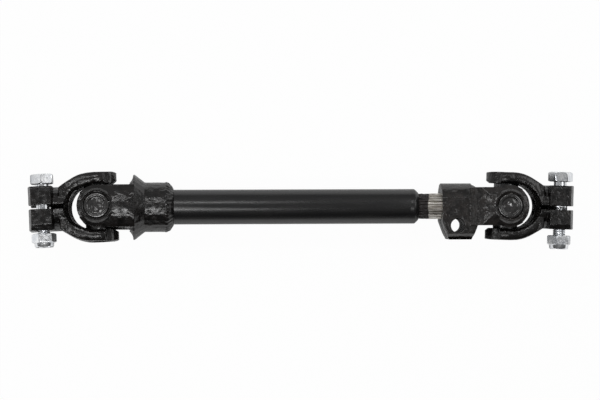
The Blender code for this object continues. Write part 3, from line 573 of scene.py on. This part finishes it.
shaft_place = axes((0.0, left_centre[1], left_centre[2]), (1.0, 0.0, 0.0), (0.0, 1.0, 0.0))
low, high = span("tube", shaft_place)
tube_start, tube_end, tube_radius = low[0] - TUBE_LAP, high[0], high[1]
tube_bore = tube_radius - TUBE_WALL
roll = np.linspace(0.0, 1.0, ROLL_ROWS)
roll_start = tube_end - TUBE_ROLL
roll_along = roll_start + (tube_end - roll_start) * roll
roll_reach = tube_radius - (tube_radius - TUBE_MOUTH - TUBE_LIP) * roll ** ROLL_CURVE
ring_rows = []
for place_back in RING_PLACES:
    ring_rows += [
        (tube_end - place_back - RING_HALF_WIDTH, tube_radius),
        (tube_end - place_back, tube_radius - RING_DEPTH),
        (tube_end - place_back + RING_HALF_WIDTH, tube_radius),
    ]
# The rows run along the outside to the mouth, and end where the taper behind it meets the bore.
tube_profile = [
    (tube_start, tube_bore),
    (tube_start, tube_radius - TUBE_EDGE),
    (tube_start + TUBE_EDGE, tube_radius),
    *ring_rows,
    *zip(roll_along, roll_reach),
    (tube_end, TUBE_MOUTH),
    (tube_end - TUBE_WALL, TUBE_MOUTH),
    (tube_end - TUBE_WALL - TUBE_TAPER, tube_bore),
]
tube = turned("outer_tube", tube_profile, shaft_place, ring=True, steps=TUBE_STEPS)
dress(tube, tube_gloss(), "tube_body", "tube")


# The splined shaft and its sleeve: a steel shaft with rolled teeth from end to end, which slides
# in a white nylon sleeve. Black paint ran onto it beyond the tube, over six or seven millimetres.
TEETH = 24
TOOTH_STEPS = 14
TOOTH_DEPTH = 1.0 * MM
TOOTH_PLACE = 0.2
TOOTH_FLANK = 0.95
TIP_CLEARANCE = 0.02 * MM
SHAFT_EDGE = 0.5 * MM
SHAFT_CREASE = 50.0
HIDDEN_ROW = 3.0 * MM
SHOWN_ROW = 0.2 * MM
GRIPPED_ROW = 0.5 * MM
PAINT_REACH = 5.9 * MM
PAINT_ARC = 1.2 * MM
PAINT_FADE = 0.5 * MM
PAINT_BACK = 1.0 * MM
PAINT_RAG, RAG_SIZE, RAG_SEED = 0.5 * MM, 3.0 * MM, 63
PAINT_LUMP = 0.3 * MM
BROAD_LUMP, BROAD_SEED = 2.6 * MM, 61
FINE_LUMP, FINE_SEED, FINE_SHARE = 1.2 * MM, 62, 0.6
HOLE_PLACE = 31.0 * MM
HOLE_HEIGHT = 11.7 * MM
HOLE_RADIUS = 4.25 * MM


def spline_steel():
    """Rolled steel teeth, bright on the tips and brown in the roots, with paint at one end.

    The attribute "bare" is 0 where the paint is, which is rougher and lumpier than the steel.
    """
    material, tree, surface = shader("spline_steel")
    stain = noise(tree, 1.4 * MM, detail=4.0, stretch=(6.0, 1.0, 1.0))
    steel = mixed(tree, stain, dark=(0.3, 0.27, 0.235), light=(0.72, 0.7, 0.66))
    paint = tree.nodes.new("ShaderNodeAttribute")
    paint.attribute_name = "bare"
    bare = paint.outputs["Fac"]
    tone = tree.nodes.new("ShaderNodeMix")
    tone.data_type = "RGBA"
    tone.inputs["A"].default_value = (0.02, 0.0165, 0.0155, 1.0)
    tree.links.new(bare, tone.inputs["Factor"])
    tree.links.new(steel, tone.inputs["B"])
    tree.links.new(tone.outputs["Result"], surface.inputs["Base Color"])
    tree.links.new(bare, surface.inputs["Metallic"])
    tree.links.new(ranged(tree, stain, low=0.3, high=0.46), surface.inputs["Roughness"])
    surface.inputs["Specular IOR Level"].default_value = 0.4
    grain = bumped(tree, surface, noise(tree, 0.8 * MM), depth=0.08 * MM)
    lumps = bumped(tree, surface, noise(tree, 1.8 * MM), depth=1.3 * MM, under=grain)
    painted = ranged(tree, bare, low=1.0, high=0.0, start=0.0, end=1.0)
    tree.links.new(painted, lumps.node.inputs["Strength"])
    return material


def nylon():
    """Natural nylon: warm white, faintly mottled, with a soft waxy gloss."""
    material, tree, surface = shader("nylon")
    cloud = noise(tree, 2.0 * MM)
    tone = mixed(tree, cloud, dark=(0.62, 0.62, 0.58), light=(0.78, 0.79, 0.76))
    tree.links.new(tone, surface.inputs["Base Color"])
    tree.links.new(ranged(tree, cloud, low=0.38, high=0.52), surface.inputs["Roughness"])
    bumped(tree, surface, noise(tree, 0.5 * MM, detail=2.0), depth=0.02 * MM)
    return material


low, high = span("splined_shaft", shaft_place)
shaft_start, shaft_end, spline_radius = low[0], high[0], high[1]
yoke_face = span("shaft_yoke", shaft_place)[0][0]


def on_cylinder(along, around, radius):
    """Points at a station and an angle on a cylinder about x: (along, r cos t, r sin t)."""
    return np.stack([along, radius * np.cos(around), radius * np.sin(around)], axis=-1)


def paint_share(along, around):
    """How painted the shaft is at a station and an angle: 1 at the tube, up to a ragged arc."""
    spot = on_cylinder(along, around, spline_radius).reshape(-1, 3)
    ragged = PAINT_RAG * waves(spot, RAG_SIZE, RAG_SEED).reshape(along.shape)
    edge = tube_end + PAINT_REACH + PAINT_ARC * np.cos(around) ** 2 + ragged
    return np.clip((edge - along) / PAINT_FADE, 0.0, 1.0) * (along > tube_end - PAINT_BACK)


shown_from, shown_to = tube_end - 2.0 * MM, yoke_face + 3.0 * MM
rows = np.concatenate([
    [shaft_start, shaft_start, shaft_start + SHAFT_EDGE],
    np.arange(shaft_start + 2 * SHAFT_EDGE, shown_from, HIDDEN_ROW),
    np.arange(shown_from, shown_to, SHOWN_ROW),
    np.arange(shown_to, shaft_end - SHAFT_EDGE, GRIPPED_ROW),
    [shaft_end, shaft_end],
])
steps = TEETH * TOOTH_STEPS
angle = np.arange(steps) * 2 * np.pi / steps
tooth = 0.5 + TOOTH_FLANK * np.cos(TEETH * angle - TOOTH_PLACE * 2 * np.pi)
tooth = np.clip(tooth, 0.0, 1.0)
tooth = tooth * tooth * (3 - 2 * tooth)
along, around = np.meshgrid(rows, angle, indexing="ij")
spot = on_cylinder(along, around, spline_radius).reshape(-1, 3)
lump = waves(spot, BROAD_LUMP, BROAD_SEED) + FINE_SHARE * waves(spot, FINE_LUMP, FINE_SEED)
lump = np.clip(0.5 + lump.reshape(along.shape), 0.0, 1.0) * paint_share(along, around)
reach = spline_radius - TIP_CLEARANCE - TOOTH_DEPTH * (1 - tooth) - PAINT_LUMP * lump * tooth
reach[0] = 0.0
reach[1] -= SHAFT_EDGE
reach[-2] = reach[-3]
reach[-1] = 0.0
local = on_cylinder(along, around, reach)
# A round groove across the splines carries on the yoke's empty hole: y stays above its circle.
off = np.clip(np.abs(along - right_centre[0] + HOLE_PLACE) / HOLE_RADIUS, 0.0, 1.0)
groove = np.where(off < 1.0, HOLE_RADIUS * np.sqrt(1 - off ** 2) - HOLE_HEIGHT, -1.0)
local[:, :, 1] = np.maximum(local[:, :, 1], groove)
shaft = skin("splined_inner_shaft", outside(local, shaft_place), ring=False, crease=SHAFT_CREASE)
points = inside(mesh_arrays(shaft.data)[0], shaft_place)
bare = 1 - paint_share(points[:, 0], np.arctan2(points[:, 2], points[:, 1]))
shaft.data.attributes.new("bare", "FLOAT", "POINT").data.foreach_set("value", bare)
dress(shaft, spline_steel(), "shaft_body", "splined_shaft")
NYLON = nylon()
paint_node("sliding_sleeve", NYLON)


# The shaft yoke: a forging like the tube yoke, which ends in a slit hub clamped on the splines.
# Its bolt hole is empty, so light falls through it, and its paint is dustier.
SHAFT_EAR = 12.6 * MM
DUSTY_PAINT = forged_paint(
    "dusty_forged_paint", dark=(0.004, 0.0034, 0.0032), dusty=(0.02, 0.0165, 0.015)
)
shaft_yoke_place = axes(right_centre, (-1.0, 0.0, 0.0), joints["right_cross_swing"]["axis"])
shaft_yoke = forging(
    "shaft_yoke_forging", "shaft_yoke", shaft_yoke_place, SOFT_TO, seed=11,
    cuts=[rounded_tips(SHAFT_EAR), round_ears], marks=[stake_ears],
)
dress(shaft_yoke, DUSTY_PAINT, "shaft_body", "shaft_yoke")


# The two clamp yokes: forgings that grip the car's own shafts. Their arms bulge, their lugs keep
# the draft of the forging die at both ends, and fine serrations line their bores.
CLAMP_EAR = 12.2 * MM
CROWN = 1.3 * MM
ARM_END = 20.0 * MM
ARM_FADE = 4.0 * MM
ARM_FROM = 3.0 * MM
ARM_HALF_WIDTH = 11.8 * MM
ARM_EDGE = 1.2 * MM
ARM_SIDE_FADE = 3.0 * MM
ARM_BACK = 15.0
STATIONS = 61
STATION_BLUR = 5
LUG_ROOT = 12.0 * MM
LUG_BACK = 1.0 * MM
DRAFT_FROM = 11.0 * MM
SERRATIONS = 36
SERRATION_DEPTH = 0.35 * MM
SERRATED_RADIUS = 9.6 * MM
SERRATED_WALL = 1.6 * MM
SERRATED_FROM = 20.5 * MM
LUGS_SOFT = 0.5 * MM
CLAMP_SEEDS = {"left": 21, "right": 31}
# Where the lugs end and start, from the joint's centre, and the draft of their two end faces.
CLAMPS = {"left": (40.7 * MM, 25.8 * MM, 15.4, 12.0), "right": (39.7 * MM, 24.3 * MM, 22.0, 3.0)}


def crowned_arms(local):
    """The arms' sides bulge: at each station they sink by CROWN * d^2 toward their two edges.

    d is the distance from the middle of the arm's height there, over half of that height. The
    stations are 1 mm long, and their heights are measured on the side faces and then blurred.
    """
    height = np.abs(local[:, 1])
    reach = np.abs(local[:, 2])
    side = (reach > ARM_HALF_WIDTH - ARM_EDGE) & (height > ARM_FROM) & (local[:, 0] < ARM_END)
    station = np.clip((local[:, 0] / MM + ARM_BACK).astype(int), 0, STATIONS - 1)
    low, high = np.full(STATIONS, np.inf), np.full(STATIONS, -np.inf)
    np.minimum.at(low, station[side], height[side])
    np.maximum.at(high, station[side], height[side])
    low, high = np.where(np.isfinite(low), low, 0.0), np.where(np.isfinite(high), high, MM)
    blur = np.ones(STATION_BLUR) / STATION_BLUR
    low, high = np.convolve(low, blur, "same"), np.convolve(high, blur, "same")
    where = local[:, 0] / MM + (ARM_BACK - 0.5)
    low, high = (np.interp(where, np.arange(STATIONS), edge) for edge in (low, high))
    off = np.clip((2 * height - low - high) / np.maximum(high - low, MM), -1.0, 1.0)
    fade = np.clip((ARM_END - local[:, 0]) / ARM_FADE, 0.0, 1.0)
    fade *= np.clip((reach - ARM_HALF_WIDTH + ARM_FADE) / ARM_SIDE_FADE, 0.0, 1.0)
    moved = local.copy()
    moved[:, 2] -= np.sign(local[:, 2]) * CROWN * off ** 2 * fade * (height > ARM_FROM)
    return moved


def planed(normal, through):
    """Points p beyond the flat through q with normal n go back onto it: p - n max(n.(p - q), 0)."""
    normal = np.array(normal) / np.linalg.norm(normal)

    def change(local):
        beyond = np.maximum((local - np.array(through)) @ normal, 0.0)
        return local - beyond[:, None] * normal

    return change


def drafted(end, start, end_draft, start_draft):
    """The draft of the lugs: both end faces lean back toward the lugs' outer side."""
    outer = planed((1.0, 0.0, math.tan(end_draft)), (end, 0.0, DRAFT_FROM))
    inner = planed((-1.0, 0.0, math.tan(start_draft)), (start, 0.0, LUG_ROOT))

    def change(local):
        lugs = (local[:, 2] > LUG_ROOT) & (local[:, 0] > start - LUG_BACK)
        return outer(np.where(lugs[:, None], inner(local), local))

    return change


def serrate(local):
    """Fine teeth along the bore: near its wall the radius follows a cosine of the angle."""
    reach = np.hypot(local[:, 1], local[:, 2])
    angle = np.arctan2(local[:, 2], local[:, 1])
    near = (reach < SERRATED_RADIUS) & (reach > SERRATED_RADIUS - SERRATED_WALL)
    near &= local[:, 0] > SERRATED_FROM
    grow = 1 + SERRATION_DEPTH * np.cos(SERRATIONS * angle) * near / np.maximum(reach, MM)
    moved = local.copy()
    moved[:, 1:] *= grow[:, None]
    return moved


clamp_places = {}
for side, (end, lug_start, end_draft, start_draft) in CLAMPS.items():
    centre = left_centre if side == "left" else right_centre
    hinge = joints[side + "_clamp_swing"]["axis"]
    place = axes(centre, mounts[side + "_clamp_end"]["axis"], hinge)
    if place[1][2][2] < 0:
        place = axes(centre, place[1][0], -place[1][1])
    clamp_places[side] = place
    lean = drafted(end, lug_start, math.radians(end_draft), math.radians(start_draft))
    yoke = forging(
        f"{side}_clamp_yoke_forging", f"{side}_clamp_yoke", place, lug_start + LUGS_SOFT,
        CLAMP_SEEDS[side], cuts=[rounded_tips(CLAMP_EAR), crowned_arms, lean],
        marks=[stake_ears, serrate],
    )
    dress(yoke, FORGED_PAINT, OUTER_BODY[side], side + "_clamp_yoke")


# The pinch bolts, nuts and locking rings: 8 mm hexagon bolts and lock nuts, bright zinc plated,
# fitted loosely. The thread shows in the slit and above the right nut.
HEX_STEPS = 144
HEAD_HEIGHT = 5.9 * MM
HEX_FLAT = 6.5 * MM
HEX_CORNER = 7.7 * MM
HEX_CHAMFER = 0.75 * MM
SHANK_RADIUS = 3.93 * MM
PLAIN_SHANK = 15.3 * MM
THREAD_PITCH = 1.25 * MM
THREAD_DEPTH = 0.62 * MM
THREAD_ROW = 0.125 * MM
THREAD_SHAPE = (1.25, 2.5)
NUT_BORE = 4.25 * MM
NUT_COLLAR = 2.6 * MM
NUT_COLLAR_RADIUS = 5.88 * MM
RING_ROOM = 0.25 * MM
RING_EDGE = 0.2 * MM
RING_STEPS = 64


def bright_zinc():
    """Bright zinc plating: pale metal with fine smears, a cool tint and soft scuffs."""
    material, tree, surface = shader("bright_zinc")
    smear = noise(tree, 3.5 * MM, detail=4.0)
    tone = mixed(tree, smear, dark=(0.66, 0.68, 0.71), light=(0.86, 0.87, 0.88))
    tree.links.new(tone, surface.inputs["Base Color"])
    surface.inputs["Metallic"].default_value = 1.0
    gloss = ranged(tree, noise(tree, 1.6 * MM), low=0.14, high=0.26)
    tree.links.new(gloss, surface.inputs["Roughness"])
    bumped(tree, surface, noise(tree, 2.2 * MM, detail=2.0), depth=0.03 * MM)
    return material


def hexagon(corner):
    """The reach of a hexagon at each angle t: flat / cos(t), for t within 30 degrees of a flat."""
    angle = np.arange(HEX_STEPS) * 2 * np.pi / HEX_STEPS
    return HEX_FLAT / np.cos((angle - corner) % (np.pi / 3) - np.pi / 6)


def far_corner(node, place):
    """The angle of the CAD node's point that lies farthest from the x axis: a hexagon's corner."""
    local = inside(node_points(node), place)
    farthest = local[np.argmax(np.hypot(local[:, 1], local[:, 2]))]
    return math.atan2(farthest[2], farthest[1])


def cone(start, end, narrow, wide, count=7):
    """Rows of a chamfer between two stations and two reaches."""
    share = np.linspace(0.0, 1.0, count)
    return list(zip(start + (end - start) * share, narrow + (wide - narrow) * share))


def thread_reach(along, start):
    """A thread from `start` on: the shank's radius less a V cut that winds once for each pitch."""
    turn = np.arange(HEX_STEPS) / HEX_STEPS
    phase = (along[:, None] / THREAD_PITCH + turn) % 1.0
    depth, slope = THREAD_SHAPE
    cut = np.clip(depth - slope * np.abs(phase - 0.5), 0.0, 1.0)
    run_in = np.clip((start - along) / THREAD_PITCH, 0.0, 1.0)[:, None]
    return SHANK_RADIUS - THREAD_DEPTH * cut * run_in


BRIGHT_ZINC = bright_zinc()
for side, place in clamp_places.items():
    low, high = span(side + "_lock_ring", place)
    middle = (low + high) / 2
    toward_head = -place[1][1] * np.sign(middle[1])
    seat = axes(outside(middle * (1, 0, 1), place), toward_head, place[1][0])
    low, high = span(side + "_bolt", seat)
    tip, top = low[0], high[0]
    under = top - HEAD_HEIGHT
    thread_start = under - PLAIN_SHANK
    # The rows run from the middle of the head over its sides to the shank and the bolt's tip.
    head_rows = [
        (top - 0.25 * MM, 0.0),
        (top - 0.22 * MM, 3.0 * MM),
        (top, 5.0 * MM),
        (top, HEX_FLAT - 0.45 * MM),
        *cone(top - 0.06 * MM, top - HEX_CHAMFER, HEX_FLAT - 0.3 * MM, HEX_CORNER),
        *cone(under + 0.5 * MM, under + 0.08 * MM, HEX_CORNER, HEX_FLAT - 0.1 * MM, 4),
        (under, HEX_FLAT - 0.35 * MM),
        (under, SHANK_RADIUS + 0.25 * MM),
        (under - 0.25 * MM, SHANK_RADIUS),
        (thread_start + 0.5 * MM, SHANK_RADIUS),
    ]
    thread_along = np.arange(thread_start, tip + 0.9 * MM, -THREAD_ROW)
    end_rows = [
        (tip + 0.75 * MM, SHANK_RADIUS - 0.05 * MM),
        (tip, SHANK_RADIUS - 0.8 * MM),
        (tip, 0.0),
    ]
    profile = head_rows + [(station, SHANK_RADIUS) for station in thread_along] + end_rows
    outline = np.tile(hexagon(far_corner(side + "_bolt", seat)), (len(profile), 1))
    threaded = slice(len(head_rows), len(head_rows) + len(thread_along))
    outline[threaded] = thread_reach(thread_along, thread_start)
    bolt = turned(
        side + "_pinch_bolt", profile, seat, ring=False, steps=HEX_STEPS, outline=outline
    )
    dress(bolt, BRIGHT_ZINC, OUTER_BODY[side], side + "_bolt")

    low, high = span(side + "_nut", seat)
    end, face = low[0], high[0]
    collar = end + NUT_COLLAR
    low, high = span(side + "_lock_ring", seat)
    ring_end, ring_floor, ring_radius = low[0], high[0], high[1]
    pocket = ring_radius + RING_ROOM
    # The rows run from the bore over the hexagon and the collar into the locking ring's pocket.
    profile = [
        (face, NUT_BORE),
        (face, HEX_FLAT - 0.3 * MM),
        *cone(face - 0.05 * MM, face - 0.55 * MM, HEX_FLAT - 0.15 * MM, HEX_CORNER),
        *cone(collar + HEX_CHAMFER, collar + 0.08 * MM, HEX_CORNER, HEX_FLAT - 0.25 * MM),
        (collar, NUT_COLLAR_RADIUS + 0.1 * MM),
        (collar - 0.25 * MM, NUT_COLLAR_RADIUS),
        (end + 0.7 * MM, NUT_COLLAR_RADIUS - 0.2 * MM),
        (end + 0.2 * MM, NUT_COLLAR_RADIUS - 0.5 * MM),
        (end, NUT_COLLAR_RADIUS - 0.85 * MM),
        (end, pocket),
        (ring_floor + RING_ROOM, pocket),
        (ring_floor + RING_ROOM, NUT_BORE),
    ]
    outline = hexagon(far_corner(side + "_nut", seat))
    nut = turned(side + "_lock_nut", profile, seat, ring=True, steps=HEX_STEPS, outline=outline)
    dress(nut, BRIGHT_ZINC, OUTER_BODY[side], side + "_nut")

    profile = [
        (ring_floor, NUT_BORE),
        (ring_floor, ring_radius),
        (ring_end + RING_EDGE, ring_radius),
        (ring_end, ring_radius - RING_EDGE),
        (ring_end, NUT_BORE + RING_EDGE),
        (ring_end + RING_EDGE, NUT_BORE),
    ]
    ring = turned(side + "_nylon_ring", profile, seat, ring=True, steps=RING_STEPS)
    dress(ring, NYLON, OUTER_BODY[side], side + "_lock_ring")


# The camera: far above the table and a little to the left, with a long lens, so that the shaft
# is seen almost from straight above.
PICTURE_WIDTH = 600
PIXEL = 0.6078 * MM
CAMERA_DISTANCE = 1250 * MM
CAMERA_SIDE = -70 * MM
AIM = (-1.05 * MM, 6.65 * MM, 21.6 * MM)
CAMERA_ROLL = math.radians(-0.19)

camera_data = bpy.data.cameras.new("camera")
camera_data.lens = camera_data.sensor_width * CAMERA_DISTANCE / (PICTURE_WIDTH * PIXEL)
camera = bpy.data.objects.new("camera", camera_data)
bpy.context.collection.objects.link(camera)
lift = math.sqrt(CAMERA_DISTANCE ** 2 - CAMERA_SIDE ** 2)
camera.location = (AIM[0] + CAMERA_SIDE, AIM[1], AIM[2] + lift)
camera.rotation_euler = (0.0, math.atan2(CAMERA_SIDE, lift), CAMERA_ROLL)
bpy.context.scene.camera = camera
bpy.context.scene.view_settings.view_transform = "Standard"


# The lamps: two long soft strips overhead that draw the two bright lines along the tube, a
# window at each end that lights the bolts, and a small lamp near the left joint.
STRIP_ANGLES = (math.radians(30.5), math.radians(-15.0))
STRIP_DISTANCE = 1.2
STRIP_PLACE = -0.35
STRIP_SIZE = (1.0, 0.12)
STRIP_RADIANCE = 8.1
# Each lamp's place, its tilt about x and y in degrees, its size and its radiance.
SIDE_LAMPS = {
    "right_window": ((0.28, 0.13, 0.27), (0.0, 60.0), (0.14, 0.26), 2.0),
    "left_window": ((-0.59, 0.0, 0.27), (0.0, -60.0), (0.16, 0.4), 0.7),
    "near_lamp": ((-0.105, -0.047, 0.27), (12.0, 0.0), (0.08, 0.086), 3.2),
}


def lamp(name, place, tilt, size, radiance):
    """A flat soft lamp of (long, wide) size, which shows in the gloss but not to the camera."""
    data = bpy.data.lights.new(name, "AREA")
    data.shape = "RECTANGLE"
    data.size, data.size_y = size
    data.energy = radiance * math.pi * size[0] * size[1]
    soft_box = bpy.data.objects.new(name, data)
    bpy.context.collection.objects.link(soft_box)
    soft_box.location = place
    soft_box.rotation_euler = (*tilt, 0.0)
    soft_box.visible_camera = False


for angle in STRIP_ANGLES:
    over = (STRIP_DISTANCE * math.sin(angle), STRIP_DISTANCE * math.cos(angle))
    lamp("strip", (STRIP_PLACE, *over), (-angle, 0.0), STRIP_SIZE, STRIP_RADIANCE)
for name, (place, tilt, size, radiance) in SIDE_LAMPS.items():
    lamp(name, place, [math.radians(degrees) for degrees in tilt], size, radiance)


# The room: white to the camera, and to the paint and metal in grey tones that change with the
# angle from straight up, so that the tube's dark bands lie between its bright lines.
ROOM_TONES = [
    (-90.0, 0.33),
    (-63.0, 0.02),
    (-41.0, 0.12),
    (0.0, 0.32),
    (30.0, 0.32),
    (55.0, 0.48),
    (88.0, 0.28),
]


def worked_out(tree, operation, first, second=None):
    """The output of a Math node on one or two outputs of other nodes."""
    step = tree.nodes.new("ShaderNodeMath")
    step.operation = operation
    tree.links.new(first, step.inputs[0])
    if second is not None:
        tree.links.new(second, step.inputs[1])
    return step.outputs["Value"]


world = bpy.data.worlds.new("white_room")
bpy.context.scene.world = world
world.use_nodes = True
tree = world.node_tree
room = tree.nodes["Background"]
backdrop = tree.nodes.new("ShaderNodeBackground")
backdrop.inputs["Color"].default_value = (1.0, 1.0, 1.0, 1.0)
direction = tree.nodes.new("ShaderNodeTexCoord")
split = tree.nodes.new("ShaderNodeSeparateXYZ")
tree.links.new(direction.outputs["Generated"], split.inputs["Vector"])
slope = worked_out(tree, "ARCTAN2", split.outputs["Y"], split.outputs["Z"])
ramp = tree.nodes.new("ShaderNodeValToRGB")
tones = ramp.color_ramp.elements
while len(tones) < len(ROOM_TONES):
    tones.new(0.5)
for tone, (degrees, level) in zip(tones, ROOM_TONES):
    tone.position = (degrees + 90.0) / 180.0
    tone.color = (level, level, level, 1.0)
share = ranged(tree, slope, low=0.0, high=1.0, start=-math.pi / 2, end=math.pi / 2)
tree.links.new(share, ramp.inputs["Fac"])
tree.links.new(ramp.outputs["Color"], room.inputs["Color"])
path = tree.nodes.new("ShaderNodeLightPath")
choice = tree.nodes.new("ShaderNodeMixShader")
tree.links.new(path.outputs["Is Camera Ray"], choice.inputs["Fac"])
tree.links.new(room.outputs["Background"], choice.inputs[1])
tree.links.new(backdrop.outputs["Background"], choice.inputs[2])
tree.links.new(choice.outputs["Shader"], tree.nodes["World Output"].inputs["Surface"])


# The table: a matt white sheet that keeps the shaft's shadow. The camera sees it a shade under
# white. Polished faces see it glow only outside a box round the shaft, a painted shadow whose
# edge fades out; inside the box they see the lit sheet with its own shadow.
TABLE_REACH = 3.0
FLOOR_GLOW = 0.97
SHADE_LENGTH = 0.175
SHADE_WIDTH = 0.03
SHADE_FADE = 0.05

floor_mesh = bpy.data.meshes.new("floor")
floor_corners = [(-TABLE_REACH, -TABLE_REACH, 0), (TABLE_REACH, -TABLE_REACH, 0)]
floor_corners += [(TABLE_REACH, TABLE_REACH, 0), (-TABLE_REACH, TABLE_REACH, 0)]
floor_mesh.from_pydata(floor_corners, [], [(0, 1, 2, 3)])
floor = linked("floor", floor_mesh)
material, tree, surface = shader("white_table")
surface.inputs["Base Color"].default_value = (0.9, 0.9, 0.9, 1.0)
surface.inputs["Roughness"].default_value = 0.9
surface.inputs["Specular IOR Level"].default_value = 0.0
glow = tree.nodes.new("ShaderNodeEmission")
path = tree.nodes.new("ShaderNodeLightPath")
where = tree.nodes.new("ShaderNodeTexCoord")
split = tree.nodes.new("ShaderNodeSeparateXYZ")
tree.links.new(where.outputs["Object"], split.inputs["Vector"])
# Outside this box the table glows to glossy rays; the box itself is a painted shadow in reflections.
beyond = []
for axis, reach in (("X", SHADE_LENGTH), ("Y", SHADE_WIDTH)):
    distance = worked_out(tree, "ABSOLUTE", split.outputs[axis])
    beyond.append(ranged(tree, distance, low=0.0, high=1.0, start=reach, end=reach + SHADE_FADE))
outside_painted_shadow = worked_out(tree, "MAXIMUM", *beyond)
straight, through_glass = path.outputs["Is Camera Ray"], path.outputs["Is Transmission Ray"]
direct = worked_out(tree, "MAXIMUM", straight, through_glass)
mirrored = worked_out(tree, "MULTIPLY", outside_painted_shadow, path.outputs["Is Glossy Ray"])
seen = worked_out(tree, "MAXIMUM", direct, mirrored)
strength = worked_out(tree, "MULTIPLY", seen)
strength.node.inputs[1].default_value = FLOOR_GLOW
choice = tree.nodes.new("ShaderNodeMixShader")
tree.links.new(strength, choice.inputs["Fac"])
tree.links.new(surface.outputs["BSDF"], choice.inputs[1])
tree.links.new(glow.outputs["Emission"], choice.inputs[2])
tree.links.new(choice.outputs["Shader"], tree.nodes["Material Output"].inputs["Surface"])
floor.data.materials.append(material)
